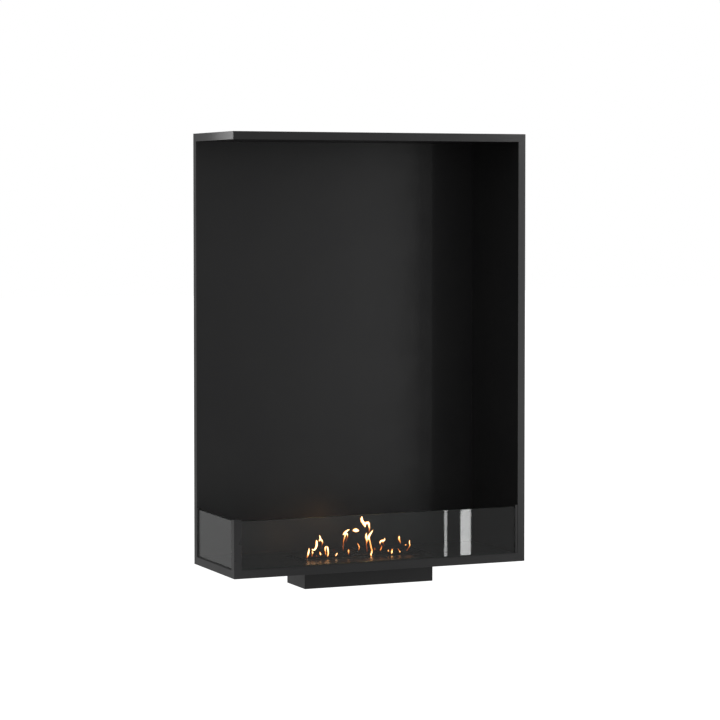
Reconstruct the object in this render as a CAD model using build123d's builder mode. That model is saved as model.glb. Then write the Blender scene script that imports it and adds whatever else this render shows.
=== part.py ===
"""Corner bioethanol fireplace insert: a double-skinned steel casing, open at the front and at the left,
with a low glass guard, a burner box under its base and a lift-out burner with a sliding lid.

Millimetres. +X is to the right, -Y is to the front, +Z is up. The origin is the centre of the four wall
fixing holes, on the plane of the casing's back.
"""

import os

from build123d import *

os.makedirs("parts", exist_ok=True)

# Casing: two skins of sheet steel with a ventilated cavity between them
casing_width = 800
casing_height = 1100
casing_depth = 290
wall = 20  # over both skins
sheet = 1.5
edge_radius = 1.0  # of a folded or ground outer edge
flange = 15  # inner flanges that carry rivets

# Spacer rails between the skins, of top-hat section
rail_web = 30
rail_foot = 15
rail_end_gap = 10  # from a rail's end to the skin that it stops short of
back_rail_count = 4
back_rail_margin = 160  # from the casing's sides to the middle of the outermost rails
right_rail_count = 2
right_rail_margin = 80  # from the casing's front and back
top_rail_count = 3
top_rail_margin = 150  # from the casing's sides
base_rail_count = 2
base_rail_margin = 130  # from the casing's sides

# Wall fixing: four holes in the back skin, each with a doubler plate behind it
fixing_side_margin = 70  # from the casing's sides to the holes
fixing_base_margin = 100  # from the underside up to the lower holes
fixing_top_margin = 100  # from the top down to the upper holes
fixing_hole_radius = 4.5
fixing_plate_size = 60
fixing_plate_thickness = 3

# Flush rivets that hold the back skin to the casing
rivet_radius = 2.0
rivet_tail_radius = 3.2
rivet_tail_length = 1.5
rivet_sink = 0.1  # how far a flush rivet lies below its sheet
rivet_clearance = 0.05
back_rivet_count = 7
back_rivet_margin = 25  # from the casing's sides to the end rivets of the top and bottom rows
side_rivet_count = 7
side_rivet_margin = 55  # from the casing's top and underside to the end rivets of the upright row

# Burner box under the base, which takes the burner and catches spills
burner_centre_from_front = 145
housing_length = 356
housing_depth = 120
housing_drop = 50  # below the casing's underside
housing_clearance = 0.3
housing_across_rivet_count = 4
housing_across_rivet_margin = 28  # from the box's ends
housing_deep_rivet_count = 2
housing_deep_rivet_margin = 30  # from the box's front and rear
dome_radius = 4.0
dome_height = 1.5
dome_rounding = 1.2

# Burner: a tank under a top plate that lies flush with the hearth
plate_overhang = 10  # beyond the burner box, all round
plate_gap = 0.5  # all round, in the hearth plate's opening
bar_thickness = 4  # of the bars that the plate rests on
bar_end_gap = 0.5  # from a short bar to the long ones
seat_gap = 0.3  # under a piece that can be lifted out
plate_corner_radius = 3
tank_side_gap = 6.5  # from the tank to the burner box's walls
tank_wall = 1.5
tank_corner_radius = 3
tank_gap_below = 4.5  # to the burner box's bottom
slot_end_margin = 6  # from the tank's inner end walls to the slot's ends
slot_depth = 40
slot_centre_from_front = 118
slot_corner_radius = 4
wool_height = 34.5
wool_clearance = 0.5
mesh_thickness = 1.0
mesh_hole_radius = 3.0
mesh_hole_pitch = 10
mesh_border = 15  # from the sheet's edge to the middle of the outermost holes, at least

# Lid that slides on the burner plate, between two guides
lid_end_overlap = 10  # beyond each end of the slot
lid_thickness = 2.0
lid_overlap = 6  # beyond the slot's front and rear edge
lid_open_gap = 2  # from the slot's rear edge to the open lid
lid_corner_radius = 3
lid_tab_length = 40
lid_tab_height = 8
lid_tab_rounding = 0.7
slide_gap = 0.3
guide_sheet = 1.2
guide_lip = 4.5
guide_foot = 10
guide_overrun = 4  # of a guide, past the lid at either end of its travel
guide_rivet_radius = 1.5
guide_rivet_count = 2  # on each guide
guide_rivet_margin = 14  # from the guide's ends
guide_rivet_head_radius = 2.5
guide_rivet_head_height = 1.0

# Glass guard: two panes between a corner post and two U channels
glass_thickness = 6
glass_top_height = 142  # above the casing's underside
glass_inset = 3  # of a pane's outer face from the casing's outer face
glass_edge_chamfer = 0.6
glass_corner_radius = 2
glass_side_gap = 0.3  # each side of a pane in its groove
glass_end_gap = 0.5  # from a pane's end to its groove's bottom
guard_rise = 4  # of the post and the channels, above the glass
channel_flange = 6
channel_sheet = 1.5
channel_rivet_count = 3
channel_rivet_margin = 18  # from the channel's ends
channel_rivet_radius = 1.5
channel_rivet_tail_radius = 2.4
channel_rivet_tail_length = 1.2
seal_thickness = 2.7
seal_width = 8

# Corner post: a solid square bar with a groove for each pane, screwed up from below
post_size = 20
post_groove_depth = 5
screw_radius = 2.5
screw_clearance = 0.1
screw_inset = 8  # of the screw's axis from the post's two outer faces
screw_depth = 18  # in the post
screw_head_radius = 4.7
screw_head_height = 2.4
screw_socket_radius = 1.7
screw_socket_depth = 1.8
post_spacer_radius = 6

# Planes and edges of the casing
left = -casing_width / 2
right = casing_width / 2
front = -casing_depth
underside = -(fixing_base_margin + casing_height - fixing_top_margin) / 2
topside = underside + casing_height
hearth = underside + wall
ceiling = topside - wall
inner_back = -wall
inner_right = right - wall
cavity = wall - 2 * sheet

# Places of the burner
burner_y = front + burner_centre_from_front
slot_y = front + slot_centre_from_front
housing_bottom = underside - housing_drop
flange_top = underside + 2 * sheet
plate_length = housing_length + 2 * plate_overhang
plate_depth = housing_depth + 2 * plate_overhang
plate_bottom = hearth - sheet
tank_length = housing_length - 2 * sheet - 2 * tank_side_gap
tank_depth = housing_depth - 2 * sheet - 2 * tank_side_gap
tank_bottom = housing_bottom + sheet + tank_gap_below
slot_length = tank_length - 2 * tank_wall - 2 * slot_end_margin
wool_bottom = tank_bottom + tank_wall
mesh_bottom = wool_bottom + wool_height
lid_length = slot_length + 2 * lid_end_overlap
lid_depth = slot_depth + 2 * lid_overlap
lid_front = slot_y + slot_depth / 2 + lid_open_gap
lid_rear = lid_front + lid_depth
lid_bottom = hearth + slide_gap
lid_top = lid_bottom + lid_thickness

# Places of the glass guard
glass_bottom = hearth + seal_thickness + seat_gap
glass_top = underside + glass_top_height
guard_top = glass_top + guard_rise
glass_height = glass_top - glass_bottom
glass_mid_z = (glass_top + glass_bottom) / 2
front_pane_y = front + glass_inset + glass_thickness / 2
left_pane_x = left + glass_inset + glass_thickness / 2
groove = glass_thickness + 2 * glass_side_gap
front_groove_low = front_pane_y - groove / 2
front_groove_high = front_pane_y + groove / 2
left_groove_low = left_pane_x - groove / 2
left_groove_high = left_pane_x + groove / 2
post_right = left + post_size
post_back = front + post_size
screw_x = left + screw_inset
screw_y = front + screw_inset


def strip(low_x, high_x, low_y, high_y, mode=Mode.ADD):
    """A rectangle given by its four edges, in the open sketch."""
    with Locations(((low_x + high_x) / 2, (low_y + high_y) / 2)):
        Rectangle(high_x - low_x, high_y - low_y, mode=mode)


def hat_section():
    """A spacer rail's section in the open sketch: feet on the X axis, web at the cavity's far side."""
    half_web = rail_web / 2
    half_rail = half_web + rail_foot
    strip(-half_web, half_web, cavity - sheet, cavity)
    strip(-half_web, -half_web + sheet, 0, cavity)
    strip(half_web - sheet, half_web, 0, cavity)
    strip(-half_rail, -half_web, 0, sheet)
    strip(half_web, half_rail, 0, sheet)


def spread(count, low, high):
    """Evenly spaced places, the first at low and the last at high."""
    return [low + (high - low) * index / (count - 1) for index in range(count)]


def finish(piece, name):
    """Names a finished piece and writes it."""
    piece.part.label = name
    export_step(piece.part, f"parts/{name}.step")


# Rivet places: x and z on the back skin, x and y under the base, and across and up on the glass channels
back_row = spread(back_rivet_count, left + back_rivet_margin, right - back_rivet_margin)
side_row = spread(side_rivet_count, underside + side_rivet_margin, topside - side_rivet_margin)
base_rivets = [(x, underside + wall / 2) for x in back_row]
top_rivets = [(x, topside - wall / 2) for x in back_row]
side_rivets = [(right - sheet - flange / 2, z) for z in side_row]
back_rivets = base_rivets + top_rivets + side_rivets
across_end = housing_length / 2 - housing_across_rivet_margin
across_row = spread(housing_across_rivet_count, -across_end, across_end)
deep_end = housing_depth / 2 - housing_deep_rivet_margin
deep_row = spread(housing_deep_rivet_count, burner_y - deep_end, burner_y + deep_end)
flange_x = (housing_length + flange) / 2
flange_y = (housing_depth + flange) / 2
flange_rivets = [(x, y) for x in across_row for y in (burner_y - flange_y, burner_y + flange_y)]
flange_rivets += [(x, y) for x in (-flange_x, flange_x) for y in deep_row]
channel_row = spread(channel_rivet_count, hearth + channel_rivet_margin, guard_top - channel_rivet_margin)
right_channel_rivets = [(front_pane_y, z) for z in channel_row]
rear_channel_rivets = [(left_pane_x, z) for z in channel_row]

# Wall fixing holes: x and z on the back skin
fixing_x = right - fixing_side_margin
fixing_z = topside - fixing_top_margin
fixing_places = [(x, z) for x in (-fixing_x, fixing_x) for z in (-fixing_z, fixing_z)]

# Back skin: stands on the wall, and its left edge is folded forward to close the back wall's cavity
with BuildPart() as back_outer_panel:
    with BuildSketch(Plane.XY.offset(underside)):
        strip(left, right, -sheet, 0)
    extrude(amount=casing_height)
    with BuildSketch(Plane.XY.offset(hearth)):
        strip(left, left + sheet, inner_back, -sheet)
    extrude(amount=ceiling - hearth)
    fold = back_outer_panel.edges().filter_by(Axis.Z).group_by(Axis.X)[0].sort_by(Axis.Y)[-1]
    fillet(fold, edge_radius)
    with BuildSketch(Plane.XZ):
        with Locations(*fixing_places):
            Circle(fixing_hole_radius)
        with Locations(*back_rivets):
            Circle(rivet_radius + rivet_clearance)
    extrude(amount=sheet, mode=Mode.SUBTRACT)
finish(back_outer_panel, "back_outer_panel")

# Back liner: the flat panel seen behind the fire
with BuildPart() as back_liner:
    with BuildSketch(Plane.XY.offset(hearth)):
        strip(left + sheet, right - sheet, inner_back, inner_back + sheet)
    extrude(amount=ceiling - hearth)
    with BuildSketch(Plane.XZ.offset(wall - sheet)):
        with Locations(*rear_channel_rivets):
            Circle(channel_rivet_radius + rivet_clearance)
    extrude(amount=sheet, mode=Mode.SUBTRACT)
finish(back_liner, "back_liner")

# Right skin: folded round the front of the right wall, with a flange for the back skin's rivets
with BuildPart() as right_outer_panel:
    with BuildSketch(Plane.XY.offset(hearth)):
        strip(right - sheet, right, front, -sheet)
        strip(inner_right, right - sheet, front, front + sheet)
        strip(right - sheet - flange, right - sheet, -2 * sheet, -sheet)
    extrude(amount=ceiling - hearth)
    fold = right_outer_panel.edges().filter_by(Axis.Z).group_by(Axis.X)[-1].sort_by(Axis.Y)[0]
    fillet(fold, edge_radius)
    with BuildSketch(Plane.XZ.offset(sheet)):
        with Locations(*side_rivets):
            Circle(rivet_radius + rivet_clearance)
    extrude(amount=sheet, mode=Mode.SUBTRACT)
finish(right_outer_panel, "right_outer_panel")

# Right liner: the flat panel inside the right wall
with BuildPart() as right_liner:
    with BuildSketch(Plane.XY.offset(hearth)):
        strip(inner_right, inner_right + sheet, front + sheet, inner_back)
    extrude(amount=ceiling - hearth)
    with BuildSketch(Plane.YZ.offset(inner_right)):
        with Locations(*right_channel_rivets):
            Circle(channel_rivet_radius + rivet_clearance)
    extrude(amount=sheet, mode=Mode.SUBTRACT)
finish(right_liner, "right_liner")

# Top cover: a shallow folded pan, upside down, with welded and ground corners
with BuildPart() as top_cover:
    with BuildSketch(Plane.XY.offset(ceiling)):
        strip(left, right, front, -sheet)
    extrude(amount=wall)
    corners = top_cover.edges().filter_by(Axis.Z).group_by(Axis.Y)[0]
    rim = top_cover.edges().group_by(Axis.Z)[-1].sort_by(Axis.Y)[:-1]
    fillet(corners + rim, edge_radius)
    with BuildSketch(Plane.XY.offset(ceiling)):
        strip(left + sheet, right - sheet, front + sheet, -2 * sheet)
    extrude(amount=wall - sheet, mode=Mode.SUBTRACT)
    with BuildSketch(Plane.XZ.offset(sheet)):
        with Locations(*top_rivets):
            Circle(rivet_radius + rivet_clearance)
    extrude(amount=sheet, mode=Mode.SUBTRACT)
finish(top_cover, "top_cover")

# Ceiling liner: lies inside the top cover's rims, flush with their lower edges
with BuildPart() as ceiling_liner:
    with BuildSketch(Plane.XY.offset(ceiling)):
        strip(left + sheet, right - sheet, front + sheet, -2 * sheet)
    extrude(amount=sheet)
finish(ceiling_liner, "ceiling_liner")

# Base pan: the same pan the right way up, with an opening for the burner box
with BuildPart() as base_pan:
    with BuildSketch(Plane.XY.offset(underside)):
        strip(left, right, front, -sheet)
    extrude(amount=wall)
    corners = base_pan.edges().filter_by(Axis.Z).group_by(Axis.Y)[0]
    rim = base_pan.edges().group_by(Axis.Z)[0].sort_by(Axis.Y)[:-1]
    fillet(corners + rim, edge_radius)
    with BuildSketch(Plane.XY.offset(underside + sheet)):
        strip(left + sheet, right - sheet, front + sheet, -2 * sheet)
    extrude(amount=wall - sheet, mode=Mode.SUBTRACT)
    with BuildSketch(Plane.XY.offset(underside)):
        with Locations((0, burner_y)):
            Rectangle(housing_length + 2 * housing_clearance, housing_depth + 2 * housing_clearance)
        with Locations(*flange_rivets):
            Circle(rivet_radius + rivet_clearance)
        with Locations((screw_x, screw_y)):
            Circle(screw_radius + screw_clearance)
    extrude(amount=sheet, mode=Mode.SUBTRACT)
    with Locations((screw_x, screw_y, underside)):
        Cone(
            bottom_radius=screw_head_radius + screw_clearance,
            top_radius=screw_radius + screw_clearance,
            height=screw_head_height,
            align=(Align.CENTER, Align.CENTER, Align.MIN),
            mode=Mode.SUBTRACT,
        )
    with BuildSketch(Plane.XZ.offset(sheet)):
        with Locations(*base_rivets):
            Circle(rivet_radius + rivet_clearance)
    extrude(amount=sheet, mode=Mode.SUBTRACT)
finish(base_pan, "base_pan")

# Hearth plate: the floor of the firebox, inside the base pan's rims, with an opening for the burner
with BuildPart() as hearth_plate:
    with BuildSketch(Plane.XY.offset(plate_bottom)):
        strip(left + sheet, right - sheet, front + sheet, -2 * sheet)
        with Locations((0, burner_y)):
            RectangleRounded(
                plate_length + 2 * plate_gap,
                plate_depth + 2 * plate_gap,
                plate_corner_radius + plate_gap,
                mode=Mode.SUBTRACT,
            )
        with Locations((screw_x, screw_y)):
            Circle(screw_radius + screw_clearance, mode=Mode.SUBTRACT)
    extrude(amount=sheet)
finish(hearth_plate, "hearth_plate")

# Spacer rails of the back wall, upright, with their feet on the back skin
with BuildPart() as back_spacer_rails:
    back_rail_row = spread(back_rail_count, left + back_rail_margin, right - back_rail_margin)
    with BuildSketch(Plane.XY.offset(hearth + rail_end_gap)):
        with Locations(*[Location((x, -sheet), 180) for x in back_rail_row]):
            hat_section()
    extrude(amount=ceiling - hearth - 2 * rail_end_gap)
finish(back_spacer_rails, "back_spacer_rails")

# Spacer rails of the right wall, upright, with their feet on the right skin
with BuildPart() as right_spacer_rails:
    right_rail_row = spread(right_rail_count, front + right_rail_margin, -right_rail_margin)
    with BuildSketch(Plane.XY.offset(hearth + rail_end_gap)):
        with Locations(*[Location((right - sheet, y), 90) for y in right_rail_row]):
            hat_section()
    extrude(amount=ceiling - hearth - 2 * rail_end_gap)
finish(right_spacer_rails, "right_spacer_rails")

# Spacer rails under the top cover, front to back
with BuildPart() as top_spacer_rails:
    top_rail_row = spread(top_rail_count, left + top_rail_margin, right - top_rail_margin)
    with BuildSketch(Plane.XZ.offset(2 * sheet + rail_end_gap)):
        with Locations(*[Location((x, topside - sheet), 180) for x in top_rail_row]):
            hat_section()
    extrude(amount=casing_depth - 3 * sheet - 2 * rail_end_gap)
finish(top_spacer_rails, "top_spacer_rails")

# Spacer rails on the base pan, front to back, on either side of the burner box
with BuildPart() as base_spacer_rails:
    base_rail_row = spread(base_rail_count, left + base_rail_margin, right - base_rail_margin)
    with BuildSketch(Plane.XZ.offset(2 * sheet + rail_end_gap)):
        with Locations(*[(x, underside + sheet) for x in base_rail_row]):
            hat_section()
    extrude(amount=casing_depth - 3 * sheet - 2 * rail_end_gap)
finish(base_spacer_rails, "base_spacer_rails")

# Doubler plates behind the four wall fixing holes
with BuildPart() as wall_fixing_plates:
    with BuildSketch(Plane.XZ.offset(sheet)):
        with Locations(*fixing_places):
            Rectangle(fixing_plate_size, fixing_plate_size)
            Circle(fixing_hole_radius, mode=Mode.SUBTRACT)
    extrude(amount=fixing_plate_thickness)
finish(wall_fixing_plates, "wall_fixing_plates")

# Flush blind rivets through the back skin and the flanges behind it
with BuildPart() as casing_rivets:
    with BuildSketch(Plane.XZ.offset(rivet_sink)):
        with Locations(*back_rivets):
            Circle(rivet_radius)
    extrude(amount=2 * sheet - rivet_sink)
    with BuildSketch(Plane.XZ.offset(2 * sheet)):
        with Locations(*back_rivets):
            Circle(rivet_tail_radius)
    extrude(amount=rivet_tail_length)
finish(casing_rivets, "casing_rivets")

# Burner box: an open box of folded sheet, let down through the base pan and held by its flange
with BuildPart() as burner_housing:
    with BuildSketch(Plane.XY.offset(housing_bottom)):
        with Locations((0, burner_y)):
            Rectangle(housing_length, housing_depth)
    extrude(amount=flange_top - housing_bottom)
    corners = burner_housing.edges().filter_by(Axis.Z)
    fillet(corners + burner_housing.edges().group_by(Axis.Z)[0], edge_radius)
    with BuildSketch(Plane.XY.offset(underside + sheet)):
        with Locations((0, burner_y)):
            Rectangle(housing_length + 2 * flange, housing_depth + 2 * flange)
    extrude(amount=sheet)
    with BuildSketch(Plane.XY.offset(housing_bottom + sheet)):
        with Locations((0, burner_y)):
            Rectangle(housing_length - 2 * sheet, housing_depth - 2 * sheet)
    extrude(amount=flange_top - housing_bottom, mode=Mode.SUBTRACT)
    with BuildSketch(Plane.XY.offset(underside + sheet)):
        with Locations(*flange_rivets):
            Circle(rivet_radius + rivet_clearance)
    extrude(amount=sheet, mode=Mode.SUBTRACT)
finish(burner_housing, "burner_housing")

# Domed blind rivets that hold the burner box's flange to the base pan
with BuildPart() as housing_rivets:
    with BuildSketch(Plane.XY.offset(underside - dome_height)):
        with Locations(*flange_rivets):
            Circle(dome_radius)
    extrude(amount=dome_height)
    fillet(housing_rivets.edges().group_by(Axis.Z)[0], dome_rounding)
    with BuildSketch(Plane.XY.offset(underside)):
        with Locations(*flange_rivets):
            Circle(rivet_radius)
    extrude(amount=2 * sheet)
    with BuildSketch(Plane.XY.offset(flange_top)):
        with Locations(*flange_rivets):
            Circle(rivet_tail_radius)
    extrude(amount=rivet_tail_length)
finish(housing_rivets, "housing_rivets")

# Support bars round the mouth of the burner box, flat bars on edge that carry the burner plate: the two long
# ones run right through, and the two short ones stand between them
bar_x = housing_length / 2
bar_y = housing_depth / 2
with BuildPart() as burner_support_bars:
    with BuildSketch(Plane.XY.offset(flange_top)):
        with Locations((0, burner_y)):
            for side in (-1, 1):
                with Locations((0, side * (bar_y + bar_thickness / 2))):
                    Rectangle(2 * (bar_x + bar_thickness), bar_thickness)
                with Locations((side * (bar_x + bar_thickness / 2), 0)):
                    Rectangle(bar_thickness, 2 * (bar_y - bar_end_gap))
    extrude(amount=plate_bottom - seat_gap - flange_top)
finish(burner_support_bars, "burner_support_bars")

# Corner post: a square bar with an open-topped groove for the end of each pane
with BuildPart() as corner_post:
    with BuildSketch(Plane.XY.offset(hearth)):
        strip(left, post_right, front, post_back)
    extrude(amount=guard_top - hearth)
    uprights = corner_post.edges().filter_by(Axis.Z)
    outer_edges = uprights.group_by(Axis.X)[0] + uprights.group_by(Axis.Y)[0].sort_by(Axis.X)[-1:]
    fillet(outer_edges, edge_radius)
    with BuildSketch(Plane.XY.offset(hearth)):
        strip(post_right - post_groove_depth, post_right, front_groove_low, front_groove_high)
        strip(left_groove_low, left_groove_high, post_back - post_groove_depth, post_back)
    extrude(amount=guard_top - hearth, mode=Mode.SUBTRACT)
    with BuildSketch(Plane.XY.offset(hearth)):
        with Locations((screw_x, screw_y)):
            Circle(screw_radius + rivet_clearance)
    extrude(amount=screw_depth, mode=Mode.SUBTRACT)
finish(corner_post, "corner_post")

# Spacer tube in the base's cavity, which keeps the post's screw from crushing the base
with BuildPart() as corner_post_spacer:
    with BuildSketch(Plane.XY.offset(underside + sheet)):
        with Locations((screw_x, screw_y)):
            Circle(post_spacer_radius)
            Circle(screw_radius + screw_clearance, mode=Mode.SUBTRACT)
    extrude(amount=cavity)
    with Locations((screw_x, screw_y, underside)):
        Cone(
            bottom_radius=screw_head_radius + screw_clearance,
            top_radius=screw_radius + screw_clearance,
            height=screw_head_height,
            align=(Align.CENTER, Align.CENTER, Align.MIN),
            mode=Mode.SUBTRACT,
        )
finish(corner_post_spacer, "corner_post_spacer")

# Countersunk socket screw, up through the base into the post
with BuildPart() as corner_post_screw:
    with Locations((screw_x, screw_y, underside)):
        Cone(
            bottom_radius=screw_head_radius,
            top_radius=screw_radius,
            height=screw_head_height,
            align=(Align.CENTER, Align.CENTER, Align.MIN),
        )
    with BuildSketch(Plane.XY.offset(underside)):
        with Locations((screw_x, screw_y)):
            Circle(screw_radius)
    extrude(amount=wall + screw_depth - screw_clearance)
    with BuildSketch(Plane.XY.offset(underside)):
        with Locations((screw_x, screw_y)):
            RegularPolygon(screw_socket_radius, 6)
    extrude(amount=screw_socket_depth, mode=Mode.SUBTRACT)
finish(corner_post_screw, "corner_post_screw")

# U channel on the right liner, for the front pane's far end
with BuildPart() as right_glass_channel:
    mouth = inner_right - channel_flange
    with BuildSketch(Plane.XY.offset(hearth)):
        strip(mouth, inner_right, front_groove_low - channel_sheet, front_groove_high + channel_sheet)
        strip(mouth, inner_right - channel_sheet, front_groove_low, front_groove_high, Mode.SUBTRACT)
    extrude(amount=guard_top - hearth)
    with BuildSketch(Plane.YZ.offset(inner_right - channel_sheet)):
        with Locations(*right_channel_rivets):
            Circle(channel_rivet_radius + rivet_clearance)
    extrude(amount=channel_sheet, mode=Mode.SUBTRACT)
finish(right_glass_channel, "right_glass_channel")

# U channel on the back liner, for the left pane's far end
with BuildPart() as rear_glass_channel:
    mouth = inner_back - channel_flange
    with BuildSketch(Plane.XY.offset(hearth)):
        strip(left_groove_low - channel_sheet, left_groove_high + channel_sheet, mouth, inner_back)
        strip(left_groove_low, left_groove_high, mouth, inner_back - channel_sheet, Mode.SUBTRACT)
    extrude(amount=guard_top - hearth)
    with BuildSketch(Plane.XZ.offset(wall)):
        with Locations(*rear_channel_rivets):
            Circle(channel_rivet_radius + rivet_clearance)
    extrude(amount=channel_sheet, mode=Mode.SUBTRACT)
finish(rear_glass_channel, "rear_glass_channel")

# Flush rivets inside the two channels, with their tails behind the liners
with BuildPart() as channel_rivets:
    with BuildSketch(Plane.YZ.offset(inner_right - channel_sheet + rivet_sink)):
        with Locations(*right_channel_rivets):
            Circle(channel_rivet_radius)
    extrude(amount=channel_sheet - rivet_sink + sheet)
    with BuildSketch(Plane.YZ.offset(inner_right + sheet)):
        with Locations(*right_channel_rivets):
            Circle(channel_rivet_tail_radius)
    extrude(amount=channel_rivet_tail_length)
    with BuildSketch(Plane.XZ.offset(wall - sheet)):
        with Locations(*rear_channel_rivets):
            Circle(channel_rivet_radius)
    extrude(amount=sheet + channel_sheet - rivet_sink)
    with BuildSketch(Plane.XZ.offset(wall - sheet - channel_rivet_tail_length)):
        with Locations(*rear_channel_rivets):
            Circle(channel_rivet_tail_radius)
    extrude(amount=channel_rivet_tail_length)
finish(channel_rivets, "channel_rivets")

# Seal strip under the front pane
with BuildPart() as front_glass_seal:
    with BuildSketch(Plane.XY.offset(hearth)):
        with Locations(((post_right + inner_right - channel_flange) / 2, front_pane_y)):
            Rectangle(inner_right - channel_flange - post_right, seal_width)
    extrude(amount=seal_thickness)
finish(front_glass_seal, "front_glass_seal")

# Seal strip under the left pane
with BuildPart() as left_glass_seal:
    with BuildSketch(Plane.XY.offset(hearth)):
        with Locations((left_pane_x, (post_back + inner_back - channel_flange) / 2)):
            Rectangle(seal_width, inner_back - channel_flange - post_back)
    extrude(amount=seal_thickness)
finish(left_glass_seal, "left_glass_seal")

# Front pane: tempered glass with ground edges, which lifts out of the post and the right channel
with BuildPart() as front_glass:
    pane_left = post_right - post_groove_depth + glass_end_gap
    pane_right = inner_right - channel_sheet - glass_end_gap
    with BuildSketch(Plane.XZ.offset(-front_pane_y - glass_thickness / 2)):
        with Locations(((pane_left + pane_right) / 2, glass_mid_z)):
            RectangleRounded(pane_right - pane_left, glass_height, glass_corner_radius)
    extrude(amount=glass_thickness)
    face_edges = front_glass.edges().group_by(Axis.Y)
    chamfer(face_edges[0] + face_edges[-1], glass_edge_chamfer)
finish(front_glass, "front_glass")

# Left pane: the same glass, between the post and the rear channel
with BuildPart() as left_glass:
    pane_front = post_back - post_groove_depth + glass_end_gap
    pane_rear = inner_back - channel_sheet - glass_end_gap
    with BuildSketch(Plane.YZ.offset(left_pane_x - glass_thickness / 2)):
        with Locations(((pane_front + pane_rear) / 2, glass_mid_z)):
            RectangleRounded(pane_rear - pane_front, glass_height, glass_corner_radius)
    extrude(amount=glass_thickness)
    face_edges = left_glass.edges().group_by(Axis.X)
    chamfer(face_edges[0] + face_edges[-1], glass_edge_chamfer)
finish(left_glass, "left_glass")

# Lid guides: a folded strip at either end of the lid, riveted to the burner plate
guide_x = lid_length / 2 + slide_gap
guide_top = lid_top + slide_gap + guide_sheet
guide_front = slot_y - lid_depth / 2 - guide_overrun
guide_rear = lid_rear + guide_overrun
guide_rivet_x = guide_x + (guide_sheet + guide_foot) / 2
guide_row = spread(guide_rivet_count, guide_front + guide_rivet_margin, guide_rear - guide_rivet_margin)
guide_rivet_places = [(x, y) for x in (-guide_rivet_x, guide_rivet_x) for y in guide_row]
with BuildPart() as lid_guides:
    with BuildSketch(Plane.XZ.offset(-guide_rear)):
        strip(guide_x, guide_x + guide_foot, hearth, hearth + guide_sheet)
        strip(guide_x, guide_x + guide_sheet, hearth, guide_top)
        strip(guide_x - guide_lip, guide_x, guide_top - guide_sheet, guide_top)
        mirror(about=Plane.YZ)
    extrude(amount=guide_rear - guide_front)
    with BuildSketch(Plane.XY.offset(hearth)):
        with Locations(*guide_rivet_places):
            Circle(guide_rivet_radius + rivet_clearance)
    extrude(amount=guide_sheet, mode=Mode.SUBTRACT)
finish(lid_guides, "lid_guides")

# Rivets of the lid guides, flush under the burner plate
with BuildPart() as guide_rivets:
    with BuildSketch(Plane.XY.offset(plate_bottom)):
        with Locations(*guide_rivet_places):
            Circle(guide_rivet_radius)
    extrude(amount=sheet + guide_sheet)
    with BuildSketch(Plane.XY.offset(hearth + guide_sheet)):
        with Locations(*guide_rivet_places):
            Circle(guide_rivet_head_radius)
    extrude(amount=guide_rivet_head_height)
finish(guide_rivets, "guide_rivets")

# Burner plate: flush with the hearth, with the slot that the flames rise from
with BuildPart() as burner_plate:
    with BuildSketch(Plane.XY.offset(plate_bottom)):
        with Locations((0, burner_y)):
            RectangleRounded(plate_length, plate_depth, plate_corner_radius)
        with Locations((0, slot_y)):
            RectangleRounded(slot_length, slot_depth, slot_corner_radius, mode=Mode.SUBTRACT)
        with Locations(*guide_rivet_places):
            Circle(guide_rivet_radius + rivet_clearance, mode=Mode.SUBTRACT)
    extrude(amount=sheet)
finish(burner_plate, "burner_plate")

# Fuel tank: a stainless box welded under the burner plate
with BuildPart() as fuel_tank:
    with BuildSketch(Plane.XY.offset(tank_bottom)):
        with Locations((0, burner_y)):
            RectangleRounded(tank_length, tank_depth, tank_corner_radius)
    extrude(amount=plate_bottom - tank_bottom)
    fillet(fuel_tank.edges().group_by(Axis.Z)[0], edge_radius)
    with BuildSketch(Plane.XY.offset(wool_bottom)):
        with Locations((0, burner_y)):
            RectangleRounded(
                tank_length - 2 * tank_wall,
                tank_depth - 2 * tank_wall,
                tank_corner_radius - tank_wall,
            )
    extrude(amount=plate_bottom - wool_bottom, mode=Mode.SUBTRACT)
finish(fuel_tank, "fuel_tank")

# Ceramic wool: the block that soaks up the fuel
wool_length = tank_length - 2 * tank_wall - 2 * wool_clearance
wool_depth = tank_depth - 2 * tank_wall - 2 * wool_clearance
with BuildPart() as ceramic_wool:
    with BuildSketch(Plane.XY.offset(wool_bottom)):
        with Locations((0, burner_y)):
            RectangleRounded(wool_length, wool_depth, tank_corner_radius)
    extrude(amount=wool_height)
finish(ceramic_wool, "ceramic_wool")

# Perforated sheet that holds the wool down
with BuildPart() as wool_mesh:
    mesh_count_across = int((wool_length - 2 * mesh_border) / mesh_hole_pitch) + 1
    mesh_count_deep = int((wool_depth - 2 * mesh_border) / mesh_hole_pitch) + 1
    with BuildSketch(Plane.XY.offset(mesh_bottom)):
        with Locations((0, burner_y)):
            RectangleRounded(wool_length, wool_depth, tank_corner_radius)
            with GridLocations(mesh_hole_pitch, mesh_hole_pitch, mesh_count_across, mesh_count_deep):
                Circle(mesh_hole_radius, mode=Mode.SUBTRACT)
    extrude(amount=mesh_thickness)
finish(wool_mesh, "wool_mesh")

# Sliding lid, shown open behind the slot, with a tab folded up at its rear edge
with BuildPart() as burner_lid:
    with BuildSketch(Plane.XY.offset(lid_bottom)):
        with Locations((0, (lid_front + lid_rear) / 2)):
            RectangleRounded(lid_length, lid_depth, lid_corner_radius)
    extrude(amount=lid_thickness)
    with BuildSketch(Plane.XY.offset(lid_bottom)):
        strip(-lid_tab_length / 2, lid_tab_length / 2, lid_rear - lid_thickness, lid_rear)
    extrude(amount=lid_thickness + lid_tab_height)
    tab_top = burner_lid.edges().filter_by(Axis.X).group_by(Axis.Z)[-1]
    fillet(tab_top, lid_tab_rounding)
finish(burner_lid, "burner_lid")
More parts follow.
